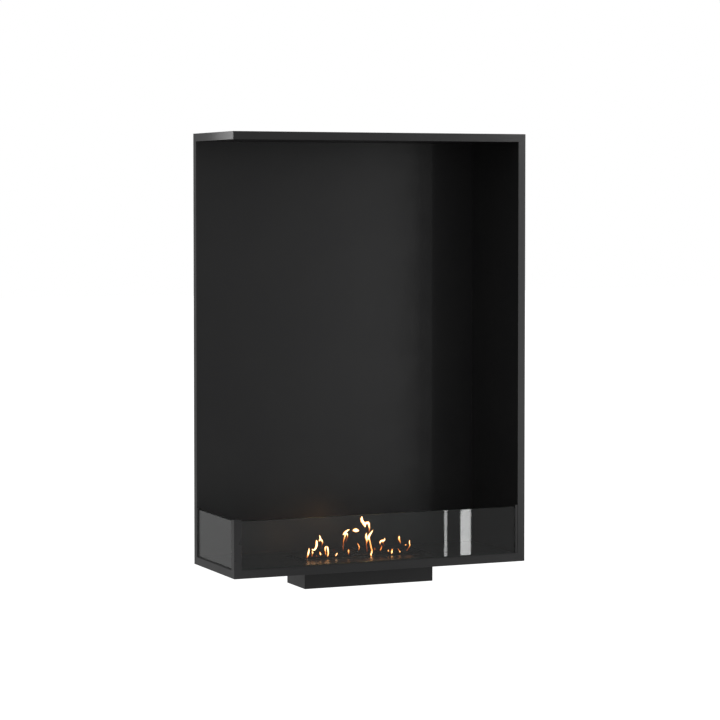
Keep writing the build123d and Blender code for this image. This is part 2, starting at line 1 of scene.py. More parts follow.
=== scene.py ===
"""A corner bioethanol fireplace insert of black powder-coated sheet steel, alight, in a plain studio.

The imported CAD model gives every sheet, pane and rivet its place. This file gives them their finishes, adds
the fibre block in the tank and the flames over the slot, and sets the studio. Metres, +Z up, -Y to the front.
"""

import math
import random

import bmesh
import bpy
from mathutils import Matrix, Vector


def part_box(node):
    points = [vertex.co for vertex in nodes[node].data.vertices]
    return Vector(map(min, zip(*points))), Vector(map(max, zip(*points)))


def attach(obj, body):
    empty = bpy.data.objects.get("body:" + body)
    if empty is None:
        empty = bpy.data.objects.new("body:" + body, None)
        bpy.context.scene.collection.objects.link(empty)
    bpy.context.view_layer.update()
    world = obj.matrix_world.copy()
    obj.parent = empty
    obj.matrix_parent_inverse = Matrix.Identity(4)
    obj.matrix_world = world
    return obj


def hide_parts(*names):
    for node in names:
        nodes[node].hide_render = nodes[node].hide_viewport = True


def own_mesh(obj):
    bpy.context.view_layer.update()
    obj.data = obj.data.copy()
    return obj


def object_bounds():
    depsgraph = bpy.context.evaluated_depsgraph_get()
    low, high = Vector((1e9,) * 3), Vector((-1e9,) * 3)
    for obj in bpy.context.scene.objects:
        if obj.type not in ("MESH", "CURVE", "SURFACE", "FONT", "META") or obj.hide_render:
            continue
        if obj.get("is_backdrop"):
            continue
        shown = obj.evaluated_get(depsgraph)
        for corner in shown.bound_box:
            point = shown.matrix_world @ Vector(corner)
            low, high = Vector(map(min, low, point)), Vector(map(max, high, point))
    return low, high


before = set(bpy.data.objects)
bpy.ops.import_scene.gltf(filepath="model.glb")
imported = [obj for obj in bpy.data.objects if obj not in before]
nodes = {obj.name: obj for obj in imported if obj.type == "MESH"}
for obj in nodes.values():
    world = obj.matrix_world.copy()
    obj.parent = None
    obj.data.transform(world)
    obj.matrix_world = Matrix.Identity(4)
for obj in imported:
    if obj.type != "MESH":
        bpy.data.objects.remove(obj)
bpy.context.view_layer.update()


# Casing: outer panels of folded sheet steel, riveted to each other, and flat liners inside them. Both are
# powder-coated satin black with a faint orange peel. The liners get a darker copy of the coat: painted
# shade for the inside of the cavity. A little dust settles on what faces up.

def feed(tree, socket, value):
    """Gives a socket another socket's value, a colour or a number."""
    if isinstance(value, bpy.types.NodeSocket):
        tree.links.new(value, socket)
    elif isinstance(value, tuple):
        socket.default_value = (*value, 1.0)
    else:
        socket.default_value = value


def noise(tree, vector, scale, detail, roughness=0.55):
    """A noise texture's value. Its scale is in grains per metre of the vector."""
    node = tree.nodes.new("ShaderNodeTexNoise")
    tree.links.new(vector, node.inputs["Vector"])
    for label, number in (("Scale", scale), ("Detail", detail), ("Roughness", roughness)):
        node.inputs[label].default_value = number
    return node.outputs["Fac"]


def spread(tree, value, to, over=(0.3, 0.7)):
    """The value, smoothly stretched from the one range to the other. A noise's own range is the default."""
    node = tree.nodes.new("ShaderNodeMapRange")
    node.interpolation_type = "SMOOTHSTEP"
    tree.links.new(value, node.inputs["Value"])
    for label, number in zip(("From Min", "From Max", "To Min", "To Max"), (*over, *to)):
        node.inputs[label].default_value = number
    return node.outputs["Result"]


def maths(tree, operation, *values):
    """Values and numbers, put through a Math node."""
    node = tree.nodes.new("ShaderNodeMath")
    node.operation = operation
    for socket, value in zip(node.inputs, values):
        feed(tree, socket, value)
    return node.outputs["Value"]


def blend_colour(tree, factor, first, second):
    """Two colours, mixed by a factor."""
    node = tree.nodes.new("ShaderNodeMix")
    node.data_type = "RGBA"
    tree.links.new(factor, node.inputs["Factor"])
    for label, value in (("A", first), ("B", second)):
        feed(tree, next(s for s in node.inputs if s.name == label and s.type == "RGBA"), value)
    return next(s for s in node.outputs if s.type == "RGBA")


def facing(tree, axis):
    """How far the surface faces along an axis: 1 along it, -1 against it."""
    geometry = tree.nodes.new("ShaderNodeNewGeometry")
    axes = tree.nodes.new("ShaderNodeSeparateXYZ")
    tree.links.new(geometry.outputs["Normal"], axes.inputs["Vector"])
    return axes.outputs[axis]


def powder_group():
    """Powder coat: its slow change of tone and of gloss, its orange peel, and dust on what faces up."""
    speck_height = 0.15  # as a share of the orange peel's
    group = bpy.data.node_groups.new("powder_coat", "ShaderNodeTree")
    for label, kind in (("Vector", "NodeSocketVector"), ("Dust", "NodeSocketFloat")):
        group.interface.new_socket(label, in_out="INPUT", socket_type=kind)
    for label in ("Tone", "Gloss", "Dust", "Height"):
        group.interface.new_socket(label, in_out="OUTPUT", socket_type="NodeSocketFloat")
    start = group.nodes.new("NodeGroupInput").outputs
    end = group.nodes.new("NodeGroupOutput").inputs
    cloud = noise(group, start["Vector"], scale=5.0, detail=3.0)
    smear = noise(group, start["Vector"], scale=18.0, detail=5.0)
    peel = noise(group, start["Vector"], scale=650.0, detail=2.0, roughness=0.4)
    specks = noise(group, start["Vector"], scale=2400.0, detail=1.0)
    rise = maths(group, "MULTIPLY", specks, speck_height)
    feed(group, end["Tone"], spread(group, cloud, to=(0.0, 1.0)))
    feed(group, end["Gloss"], spread(group, smear, to=(0.0, 1.0)))
    feed(group, end["Height"], maths(group, "ADD", peel, rise))
    upward = spread(group, facing(group, "Z"), to=(0.0, 1.0), over=(0.6, 1.0))
    settled = maths(group, "MULTIPLY", upward, spread(group, smear, to=(0.3, 1.0)))
    feed(group, end["Dust"], maths(group, "MULTIPLY", settled, start["Dust"]))
    return group


def new_material(name):
    """A node material, with its tree, its Principled shader and its Object coordinates."""
    material = bpy.data.materials.new(name)
    material.use_nodes = True
    tree = material.node_tree
    shader = tree.nodes["Principled BSDF"]
    place = tree.nodes.new("ShaderNodeTexCoord").outputs["Object"]
    return material, tree, shader, place


def bump(tree, shader, height, depth):
    """A bump of the given depth in metres, into the shader's normal."""
    node = tree.nodes.new("ShaderNodeBump")
    node.inputs["Distance"].default_value = depth
    tree.links.new(height, node.inputs["Height"])
    tree.links.new(node.outputs["Normal"], shader.inputs["Normal"])


def black_coat(name, dark, light, roughness, peel_depth, dust):
    """Black powder coat: two near blacks, a low and a high roughness, and how deep the orange peel is."""
    dust_grey = (0.16, 0.15, 0.14)
    material, tree, shader, place = new_material(name)
    node = tree.nodes.new("ShaderNodeGroup")
    node.node_tree = powder
    node.inputs["Dust"].default_value = dust
    tree.links.new(place, node.inputs["Vector"])
    coat = node.outputs
    clean = blend_colour(tree, coat["Tone"], dark, light)
    feed(tree, shader.inputs["Base Color"], blend_colour(tree, coat["Dust"], clean, dust_grey))
    gloss = spread(tree, coat["Gloss"], to=roughness, over=(0.0, 1.0))
    feed(tree, shader.inputs["Roughness"], maths(tree, "ADD", gloss, coat["Dust"]))
    bump(tree, shader, coat["Height"], peel_depth)
    return material


def paint(material, *names):
    """Gives CAD nodes their finish."""
    for name in names:
        nodes[name].data.materials.clear()
        nodes[name].data.materials.append(material)


powder = powder_group()
skin_black = black_coat(
    "skin_black",
    dark=(0.0330, 0.0330, 0.0340),
    light=(0.0370, 0.0370, 0.0375),
    roughness=(0.28, 0.32),
    peel_depth=0.00002,
    dust=0.02,
)
# the liners' copy of the coat is darker than the skins': painted shade for the cavity's inside
liner_black_painted_shade = black_coat(
    "liner_black_painted_shade",
    dark=(0.0180, 0.0180, 0.0190),
    light=(0.0210, 0.0210, 0.0215),
    roughness=(0.34, 0.38),
    peel_depth=0.00002,
    dust=0.01,
)
paint(skin_black, "back_outer_panel", "right_outer_panel", "top_cover", "base_pan")
paint(liner_black_painted_shade, "back_liner", "right_liner", "ceiling_liner", "hearth_plate")


# Spacer rails and doubler plates: hot-dip galvanised sheet between the two skins, spot-welded to them. They
# are hidden in the cavity and stay as they come from the mill, with the zinc's frosty spangle.

def zinc_material():
    """Galvanised sheet: crystals of zinc, each with its own tone and gloss."""
    crystals_per_metre = 90.0
    crystal_share, frost_share = 0.7, 0.3
    dull, bright = (0.48, 0.49, 0.50), (0.70, 0.71, 0.72)
    material, tree, shader, place = new_material("galvanised_sheet")
    cells = tree.nodes.new("ShaderNodeTexVoronoi")
    cells.inputs["Scale"].default_value = crystals_per_metre
    tree.links.new(place, cells.inputs["Vector"])
    crystal = tree.nodes.new("ShaderNodeSeparateColor")
    tree.links.new(cells.outputs["Color"], crystal.inputs["Color"])
    frost = noise(tree, place, scale=700.0, detail=3.0)
    crystal_tone = maths(tree, "MULTIPLY", crystal.outputs["Red"], crystal_share)
    tone = maths(tree, "ADD", crystal_tone, maths(tree, "MULTIPLY", frost, frost_share))
    feed(tree, shader.inputs["Base Color"], blend_colour(tree, tone, dull, bright))
    gloss = spread(tree, crystal.outputs["Green"], to=(0.32, 0.55), over=(0.0, 1.0))
    feed(tree, shader.inputs["Roughness"], gloss)
    shader.inputs["Metallic"].default_value = 1.0
    bump(tree, shader, frost, depth=0.00003)
    return material


zinc = zinc_material()
paint(zinc, "back_spacer_rails", "right_spacer_rails", "top_spacer_rails", "base_spacer_rails")
paint(zinc, "wall_fixing_plates", "corner_post_spacer")


# Burner box and its bars: an open box of folded sheet under the base, powder-coated a shade deeper, and four
# galvanised bars round its mouth that carry the burner. The box is wiped less than the casing.

box_black = black_coat(
    "box_black",
    dark=(0.0250, 0.0250, 0.0260),
    light=(0.0290, 0.0290, 0.0295),
    roughness=(0.30, 0.36),
    peel_depth=0.00002,
    dust=0.03,
)
paint(box_black, "burner_housing")
paint(zinc, "burner_support_bars")


# Rivets and the post's screw: steel blind rivets and a countersunk screw, blacked, and rubbed bare in places
# by the tool that set them.

def rivet_material():
    """Blacked steel with small rubbed spots."""
    blacked, bare = (0.016, 0.016, 0.017), (0.09, 0.09, 0.092)
    material, tree, shader, place = new_material("blacked_steel")
    rub = spread(tree, noise(tree, place, scale=420.0, detail=4.0), to=(0.0, 1.0), over=(0.58, 0.72))
    feed(tree, shader.inputs["Base Color"], blend_colour(tree, rub, blacked, bare))
    feed(tree, shader.inputs["Roughness"], spread(tree, rub, to=(0.42, 0.28), over=(0.0, 1.0)))
    shader.inputs["Metallic"].default_value = 0.3
    bump(tree, shader, noise(tree, place, scale=900.0, detail=2.0), depth=0.00002)
    return material


blacked_steel = rivet_material()
paint(blacked_steel, "casing_rivets", "housing_rivets", "channel_rivets", "guide_rivets")
paint(blacked_steel, "corner_post_screw")


# Corner post and glass channels: a solid square bar and two folded U channels, coated with the casing. Hands
# that lift the panes polish their coat a little.

post_black = black_coat(
    "post_black",
    dark=(0.0340, 0.0340, 0.0350),
    light=(0.0390, 0.0390, 0.0395),
    roughness=(0.26, 0.31),
    peel_depth=0.000015,
    dust=0.01,
)
paint(post_black, "corner_post", "right_glass_channel", "rear_glass_channel")


# Glass seals: strips of black silicone rubber, cut from a roll and glued to the hearth, which the panes stand
# on. They are matt, with a fine grain.

def rubber_material():
    """Matt black rubber with a fine grain."""
    dark, light = (0.030, 0.030, 0.030), (0.048, 0.048, 0.048)
    material, tree, shader, place = new_material("seal_rubber_black")
    grain = noise(tree, place, scale=520.0, detail=3.0)
    feed(tree, shader.inputs["Base Color"], blend_colour(tree, grain, dark, light))
    feed(tree, shader.inputs["Roughness"], spread(tree, grain, to=(0.42, 0.55)))
    bump(tree, shader, grain, depth=0.00004)
    return material


paint(rubber_material(), "front_glass_seal", "left_glass_seal")


# Glass panes: 6 mm tempered float glass, clear, with ground edges. The faces carry faint wiping marks, and
# the edges are frosted by the grinding. Their colour is the glass's green, darkened far past it: painted
# shade that dims the flames' light on them.

def choose_surface(tree, factor, first, second):
    """The material's surface: the first shader where the factor is 0, the second where it is 1."""
    mix = tree.nodes.new("ShaderNodeMixShader")
    for socket, value in zip(mix.inputs, (factor, first, second)):
        tree.links.new(value, socket)
    tree.links.new(mix.outputs["Shader"], tree.nodes["Material Output"].inputs["Surface"])


def glass_material(name, thin_axis):
    """Clear glass whose edges, outside the two faces, are ground. thin_axis is the pane's normal, X or Y."""
    # the edges' green is much darker than the glass's own: painted shade
    face_tint, edge_green_and_shade = (0.80, 0.825, 0.815), (0.03, 0.06, 0.05)
    shade_tint = (0.62, 0.64, 0.63)  # of the light that a pane lets through to the hearth
    ground_roughness = 0.28
    material, tree, shader, place = new_material(name)
    edge = spread(tree, maths(tree, "ABSOLUTE", facing(tree, thin_axis)), to=(1.0, 0.0), over=(0.80, 0.98))
    wiped = spread(tree, noise(tree, place, scale=7.0, detail=5.0), to=(0.0, 0.002), over=(0.45, 0.75))
    ground = maths(tree, "MULTIPLY", edge, ground_roughness)
    feed(tree, shader.inputs["Roughness"], maths(tree, "MAXIMUM", wiped, ground))
    feed(tree, shader.inputs["Base Color"], blend_colour(tree, edge, face_tint, edge_green_and_shade))
    grit = maths(tree, "MULTIPLY", edge, noise(tree, place, scale=1500.0, detail=2.0))
    bump(tree, shader, grit, depth=0.00004)
    shader.inputs["Transmission Weight"].default_value = 1.0
    shader.inputs["IOR"].default_value = 1.54
    # a lamp's light passes straight through the panes
    clear = tree.nodes.new("ShaderNodeBsdfTransparent")
    feed(tree, clear.inputs["Color"], shade_tint)
    shadow = tree.nodes.new("ShaderNodeLightPath").outputs["Is Shadow Ray"]
    choose_surface(tree, shadow, shader.outputs["BSDF"], clear.outputs["BSDF"])
    return material


paint(glass_material("front_pane_glass", "Y"), "front_glass")
paint(glass_material("left_pane_glass", "X"), "left_glass")


# Burner plate, lid and lid guides: sheet steel under a heat-resistant satin black, baked on. The heat leaves
# the coat a shade greyer round the slot.

sheet_low, sheet_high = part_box("wool_mesh")
slot_ahead = 0.027  # from the middle of the sheet over the wool, forward to the slot's
slot_middle = Vector((
    (sheet_low.x + sheet_high.x) / 2,
    (sheet_low.y + sheet_high.y) / 2 - slot_ahead,
    sheet_high.z,
))


def burner_material():
    """Heat-resistant black that greys towards the slot."""
    heat_reach = (0.185, 0.045, 0.2)  # from the slot's middle, on each axis
    baked_grey = (0.060, 0.057, 0.055)
    material = black_coat(
        "burner_black",
        dark=(0.0170, 0.0170, 0.0175),
        light=(0.0210, 0.0205, 0.0205),
        roughness=(0.25, 0.30),
        peel_depth=0.000015,
        dust=0.01,
    )
    tree = material.node_tree
    base_colour = tree.nodes["Principled BSDF"].inputs["Base Color"]
    coat_colour = base_colour.links[0].from_socket
    place = next(n for n in tree.nodes if n.type == "TEX_COORD").outputs["Object"]
    shift = tree.nodes.new("ShaderNodeMapping")
    shift.vector_type = "TEXTURE"
    shift.inputs["Location"].default_value = slot_middle
    shift.inputs["Scale"].default_value = heat_reach
    tree.links.new(place, shift.inputs["Vector"])
    length = tree.nodes.new("ShaderNodeVectorMath")
    length.operation = "LENGTH"
    tree.links.new(shift.outputs["Vector"], length.inputs[0])
    baked = spread(tree, length.outputs["Value"], to=(0.35, 0.0), over=(0.6, 1.5))
    patchy = maths(tree, "MULTIPLY", baked, noise(tree, place, scale=60.0, detail=4.0))
    feed(tree, base_colour, blend_colour(tree, patchy, coat_colour, baked_grey))
    return material


paint(burner_material(), "burner_plate", "burner_lid", "lid_guides")


# Fuel tank and the sheet over the wool: stainless steel, brushed along its length. The tank is welded under
# the burner plate, and the perforated sheet lies loose on the wool.

def stretched(tree, place, scale):
    """Coordinates scaled on each axis, so that a noise's grains are long where the scale is low."""
    node = tree.nodes.new("ShaderNodeMapping")
    node.inputs["Scale"].default_value = scale
    tree.links.new(place, node.inputs["Vector"])
    return node.outputs["Vector"]


def stainless_material():
    """Brushed stainless steel, with its scratches along X."""
    scratch, crest = (0.46, 0.45, 0.43), (0.66, 0.65, 0.63)
    material, tree, shader, place = new_material("brushed_stainless")
    lines = noise(tree, stretched(tree, place, (12.0, 900.0, 900.0)), scale=1.0, detail=3.0)
    feed(tree, shader.inputs["Base Color"], blend_colour(tree, lines, scratch, crest))
    feed(tree, shader.inputs["Roughness"], spread(tree, lines, to=(0.24, 0.42)))
    shader.inputs["Metallic"].default_value = 1.0
    bump(tree, shader, lines, depth=0.00002)
    return material


paint(stainless_material(), "fuel_tank", "wool_mesh")


# Ceramic wool: a block cut from a thick felt of white mineral fibre, which soaks up the fuel like a wick. It
# fills the tank up to the perforated sheet, and the knife leaves its sides crumbly.

def felt_material():
    """White mineral fibre, matt, with loose strands, and a darker tone in the hollows between them."""
    # the darker tone lies in the bump's hollows: partly the fibre's own tone, partly painted shade
    hollow_shade, strand = (0.66, 0.64, 0.59), (0.90, 0.89, 0.86)
    material, tree, shader, place = new_material("mineral_felt")
    strands = noise(tree, stretched(tree, place, (1.0, 1.0, 3.0)), scale=420.0, detail=6.0, roughness=0.7)
    feed(tree, shader.inputs["Base Color"], blend_colour(tree, strands, hollow_shade, strand))
    shader.inputs["Roughness"].default_value = 0.95
    shader.inputs["Specular IOR Level"].default_value = 0.1
    bump(tree, shader, strands, depth=0.0006)
    return material


def add_object(name, data):
    """A new object of the scene, with its data."""
    item = bpy.data.objects.new(name, data)
    bpy.context.scene.collection.objects.link(item)
    return item


def add_mesh(name, mesh, material):
    """A finished bmesh as an object of the scene, in its material."""
    data = bpy.data.meshes.new(name)
    mesh.to_mesh(data)
    mesh.free()
    data.materials.append(material)
    return add_object(name, data)


def felt_block():
    """The block: a box with eased edges, its faces broken up by small random moves that stay inside it."""
    crumble = 0.0008  # the furthest that a point moves, on each axis
    ease = 0.003  # of the edges
    cuts = 14  # of each long edge
    shortest_cut = 0.02  # edges over this length are cut
    low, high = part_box("ceramic_wool")
    inner = [side - 2 * crumble for side in high - low]
    mesh = bmesh.new()
    place = Matrix.Translation((low + high) / 2) @ Matrix.Diagonal((*inner, 1.0))
    bmesh.ops.create_cube(mesh, size=1.0, matrix=place)
    edges = list(mesh.edges)
    bmesh.ops.bevel(mesh, geom=edges, offset=ease, segments=2, profile=0.5, affect="EDGES", material=-1)
    long_edges = [edge for edge in mesh.edges if edge.calc_length() > shortest_cut]
    bmesh.ops.subdivide_edges(mesh, edges=long_edges, cuts=cuts, use_grid_fill=True)
    rng = random.Random(7)
    for vertex in mesh.verts:
        vertex.co += Vector([rng.uniform(-crumble, crumble) for _ in range(3)])
    bmesh.ops.triangulate(mesh, faces=list(mesh.faces))
    bmesh.ops.recalc_face_normals(mesh, faces=list(mesh.faces))
    block = add_mesh("felt_block", mesh, felt_material())
    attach(block, "burner")
    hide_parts("ceramic_wool")


felt_block()


# Flames: separate tongues that stand over the slot, some of them torn off, as bioethanol burns without a log
# to hold it. Each is white-hot in its middle, yellow at its edges and a thin deep orange in its stem.

# each tongue is a list of (across, up, half width, heat): millimetres from the slot's middle and the
# hearth, and a heat of 0 to 1
tongues = {
    "flame_far_left": [
        [(-153.6, 29.7, 0.6, 0.8), (-154.6, 22.5, 2.2, 1), (-155.7, 16.7, 2.4, 1),
         (-157.3, 10.9, 1.9, 0.75), (-158.8, 6.1, 1.4, 0.4), (-159.7, 2.8, 0.4, 0.2)],
        [(-147.2, 12.1, 0.5, 0.2), (-145.6, 9.3, 2.2, 0.38), (-144.6, 7.0, 0.5, 0.2)],
    ],
    "flame_left_shelf": [
        [(-133.0, 49.1, 0.8, 0.85), (-131.8, 44.1, 2.7, 1), (-132.0, 35.8, 3.0, 1), (-134.1, 28.6, 2.7, 1),
         (-138.1, 23.9, 2.4, 1), (-142.3, 23.7, 2.3, 1), (-145.0, 25.8, 0.9, 0.9)],
        [(-144.4, 21.9, 1.4, 0.6), (-143.1, 16.9, 2.1, 0.85), (-143.4, 13.5, 1.6, 0.55),
         (-144.4, 10.1, 0.5, 0.3)],
        [(-134.1, 10.0, 0.5, 0.12), (-132.0, 7.0, 2.1, 0.22), (-130.4, 4.5, 0.5, 0.12)],
    ],
    "flame_left_lobe": [
        [(-127.2, 62.0, 0.4, 0.8), (-125.7, 57.3, 1.7, 1), (-124.2, 51.9, 2.5, 1),
         (-126.7, 47.9, 2.1, 0.95), (-128.6, 44.8, 0.6, 0.4)],
        [(-124.2, 52.4, 1.9, 1), (-120.4, 47.3, 2.3, 0.95), (-118.3, 42.8, 1.6, 0.72),
         (-119.2, 37.9, 1.4, 0.4), (-120.9, 32.1, 0.9, 0.2), (-122.8, 26.4, 0.6, 0.12)],
        [(-127.2, 20.3, 0.5, 0.35), (-125.7, 16.6, 1.6, 0.75), (-124.2, 12.8, 2.0, 0.9),
         (-123.2, 8.8, 0.5, 0.5)],
    ],
    "flame_left_arch": [
        [(-105.2, 31.8, 0.5, 0.8), (-108.0, 28.1, 1.9, 1), (-108.8, 22.3, 2.0, 0.75),
         (-107.3, 16.3, 1.5, 0.5), (-106.9, 10.9, 1.3, 0.5), (-106.7, 7.9, 0.4, 0.3)],
        [(-104.6, 31.1, 0.6, 0.8), (-102.0, 27.8, 2.2, 1), (-100.8, 20.8, 2.2, 1), (-99.7, 13.9, 2.0, 0.8),
         (-101.0, 8.1, 2.2, 0.75), (-102.1, 2.8, 0.5, 0.4)],
    ],
    "flame_low_left": [
        [(-75.3, 13.0, 0.4, 0.7), (-78.3, 9.8, 1.7, 0.95), (-80.4, 6.5, 1.3, 0.8), (-81.9, 4.1, 0.4, 0.5)],
        [(-85.4, 22.9, 0.5, 0.08), (-85.3, 19.5, 1.6, 0.16), (-85.5, 15.9, 0.4, 0.08)],
    ],
    "flame_middle_curl": [
        [(-42.3, 71.2, 0.4, 0.8), (-47.9, 69.6, 1.9, 1), (-52.5, 66.5, 3.1, 1), (-56.9, 62.8, 3.1, 1),
         (-60.3, 59.1, 1.5, 0.95), (-61.4, 57.8, 0.4, 0.8)],
        [(-53.6, 63.2, 2.5, 1), (-49.6, 59.3, 2.2, 0.92), (-48.6, 54.6, 1.4, 0.6), (-50.2, 48.3, 0.9, 0.32),
         (-52.7, 42.5, 0.8, 0.22), (-53.8, 37.2, 0.4, 0.12)],
        [(-54.6, 62.0, 2.2, 1), (-55.9, 55.4, 1.9, 0.85), (-57.6, 49.4, 1.7, 0.62),
         (-59.4, 42.8, 1.6, 0.46), (-60.3, 36.3, 1.4, 0.34), (-60.7, 29.2, 1.3, 0.26),
         (-60.4, 21.7, 1.2, 0.24), (-60.5, 16.0, 0.4, 0.12)],
    ],
    "flame_middle_torn": [
        [(-31.9, 66.2, 0.6, 0.8), (-28.6, 67.7, 3.7, 1), (-23.3, 67.6, 5.6, 1), (-17.9, 66.4, 3.6, 1),
         (-13.8, 66.0, 0.5, 0.8)],
    ],
    "flame_low_middle": [
        [(-45.4, 21.8, 0.5, 0.5), (-46.6, 17.1, 2.2, 0.78), (-46.2, 11.4, 1.7, 0.45), (-46.6, 6.1, 0.5, 0.2)],
        [(-22.4, 35.7, 0.5, 0.45), (-19.2, 31.3, 1.2, 0.66), (-16.5, 25.2, 1.4, 0.68),
         (-17.1, 19.9, 1.0, 0.5), (-18.9, 15.9, 0.3, 0.3)],
    ],
    "flame_tallest": [
        [(-6.8, 102.9, 0.7, 0.9), (-8.4, 97.2, 3.5, 1), (-7.0, 91.6, 4.1, 1), (-2.6, 85.0, 4.1, 1),
         (1.2, 79.3, 3.8, 1), (2.2, 73.8, 0.5, 0.9)],
        [(-0.9, 84.4, 1.7, 1), (4.9, 85.0, 3.6, 1), (9.7, 85.5, 3.8, 1), (12.4, 81.2, 3.2, 1),
         (12.8, 76.4, 2.3, 1), (13.9, 72.1, 2.0, 0.75), (13.8, 67.5, 1.6, 0.46), (13.2, 62.6, 1.4, 0.28),
         (13.0, 58.3, 0.4, 0.12)],
        [(5.7, 60.3, 0.4, 0.85), (4.7, 54.2, 2.2, 1), (4.5, 48.5, 3.2, 1), (6.4, 43.1, 2.8, 0.95),
         (6.6, 37.9, 2.2, 0.62), (6.1, 32.6, 1.6, 0.42), (5.7, 27.3, 1.5, 0.3), (6.8, 21.1, 1.4, 0.24),
         (7.4, 13.5, 1.3, 0.2), (7.2, 8.6, 0.4, 0.1)],
        [(24.2, 67.0, 0.4, 0.7), (20.1, 61.0, 1.9, 0.95), (15.5, 55.4, 2.8, 1), (11.6, 49.9, 3.6, 1),
         (11.6, 45.1, 3.2, 1), (14.3, 39.5, 2.2, 0.72), (16.3, 33.0, 2.0, 0.6), (17.8, 25.8, 2.0, 0.66),
         (19.0, 19.9, 2.1, 0.66), (20.9, 14.5, 2.1, 0.6), (20.3, 8.8, 2.2, 0.85), (18.0, 3.6, 2.2, 0.9),
         (19.0, -1.8, 1.4, 0.45), (19.7, -6.3, 0.4, 0.2)],
    ],
    "flame_right_hook": [
        [(57.2, 43.8, 0.4, 0.85), (56.5, 39.5, 2.0, 1), (54.0, 36.8, 2.5, 1), (49.7, 37.3, 2.5, 1),
         (45.8, 36.1, 2.5, 1), (43.4, 32.6, 1.6, 0.95), (44.2, 28.9, 0.9, 0.6), (45.0, 25.8, 0.3, 0.3)],
        [(48.6, 34.3, 1.6, 0.6), (52.1, 32.8, 1.6, 0.46), (53.7, 29.0, 1.1, 0.3), (53.5, 24.6, 0.3, 0.1)],
        [(47.5, 26.5, 0.6, 0.3), (48.4, 21.6, 2.0, 0.42), (46.8, 17.0, 2.0, 0.46), (44.9, 13.4, 1.6, 0.5),
         (43.6, 10.0, 0.3, 0.25)],
        [(28.5, 20.2, 0.4, 0.3), (28.8, 16.9, 1.9, 0.46), (28.8, 13.3, 0.4, 0.3)],
    ],
    "flame_low_right": [
        [(64.8, 14.4, 0.5, 0.4), (64.8, 11.0, 2.2, 0.72), (64.8, 7.6, 0.5, 0.4)],
        [(75.6, 16.8, 0.5, 0.4), (75.6, 12.5, 2.1, 0.6), (74.8, 8.3, 2.5, 0.85), (74.2, 4.6, 1.7, 0.8),
         (73.7, 1.7, 0.4, 0.4)],
        [(92.1, 15.9, 0.4, 0.25), (93.2, 13.1, 1.5, 0.42), (95.1, 9.9, 0.9, 0.42), (97.3, 6.9, 1.8, 0.78),
         (97.9, 3.9, 0.5, 0.5)],
    ],
    "flame_right_drop": [
        [(99.1, 46.8, 0.5, 0.7), (98.3, 42.5, 2.7, 0.9), (98.2, 38.2, 2.7, 0.7),
         (100.4, 33.2, 2.1, 0.5), (102.1, 28.9, 1.4, 0.42), (102.7, 25.1, 0.3, 0.25)],
        [(114.7, 20.2, 0.4, 0.4), (117.0, 22.1, 1.7, 0.72), (119.6, 23.8, 0.4, 0.5)],
        [(128.2, 34.9, 0.5, 0.7), (127.7, 30.1, 1.3, 0.95), (127.9, 25.3, 1.3, 0.9),
         (129.0, 20.8, 1.5, 0.72), (127.1, 16.4, 1.1, 0.45), (124.2, 12.0, 0.8, 0.3),
         (121.0, 8.2, 1.5, 0.3), (118.6, 6.9, 0.3, 0.15)],
    ],
}


def flame_material():
    """Fire: lit from within by its heat, and thin where it is coolest."""
    brightness = 5.3
    # colours from the coolest part to the hottest
    stops = (
        (0.0, (0.04, 0.005, 0.001)),
        (0.25, (0.17, 0.030, 0.005)),
        (0.5, (0.42, 0.13, 0.024)),
        (0.72, (0.75, 0.36, 0.12)),
        (0.92, (1.0, 0.61, 0.34)),
    )
    material, tree, shader, place = new_material("fire")
    heat = tree.nodes.new("ShaderNodeAttribute")
    heat.attribute_name = "fire_heat"
    flicker = spread(tree, noise(tree, place, scale=160.0, detail=3.0), to=(-0.06, 0.06))
    level = maths(tree, "ADD", heat.outputs["Fac"], flicker)
    glow = tree.nodes.new("ShaderNodeValToRGB")
    ramp = glow.color_ramp.elements
    while len(ramp) < len(stops):
        ramp.new(1.0)
    for element, (position, colour) in zip(ramp, stops):
        element.position = position
        element.color = (*colour, 1.0)
    tree.links.new(level, glow.inputs["Fac"])
    tree.links.new(glow.outputs["Color"], shader.inputs["Emission Color"])
    feed(tree, shader.inputs["Alpha"], spread(tree, level, to=(0.25, 1.0), over=(0.05, 0.6)))
    feed(tree, shader.inputs["Base Color"], (0.0, 0.0, 0.0))
    shader.inputs["Specular IOR Level"].default_value = 0.0
    shader.inputs["Emission Strength"].default_value = brightness
    return material


def add_tongue(mesh, heat_layer, points, middle, hearth, thickness=0.7, sides=12, cooler_edge=0.5):
    """One closed tongue: a ring is drawn out from point to point, square to the line through them."""
    spots = [Vector((middle.x + across / 1000, middle.y, hearth + up / 1000)) for across, up, _, _ in points]
    last = None
    cap = None
    for index, (_, _, half, heat) in enumerate(points):
        ahead = spots[min(index + 1, len(spots) - 1)] - spots[max(index - 1, 0)]
        turn = Matrix.Rotation(math.atan2(ahead.x, ahead.z), 4, "Y")
        width = half / 1000
        ring = Matrix.Translation(spots[index]) @ turn @ Matrix.Diagonal((width, width * thickness, 1.0, 1.0))
        if last is None:
            made = bmesh.ops.create_circle(mesh, cap_ends=True, segments=sides, radius=1.0, matrix=ring)
            verts = made["verts"]
            cap = verts[0].link_faces[0]
        else:
            made = bmesh.ops.extrude_face_region(mesh, geom=[cap])
            verts = [item for item in made["geom"] if isinstance(item, bmesh.types.BMVert)]
            cap = next(item for item in made["geom"] if isinstance(item, bmesh.types.BMFace))
            bmesh.ops.transform(mesh, matrix=ring @ last.inverted(), verts=verts)
        # a tongue is cooler towards its two sides
        for vertex in verts:
            side = (ring.inverted() @ vertex.co).x
            vertex[heat_layer] = heat - cooler_edge * side * side
        last = ring


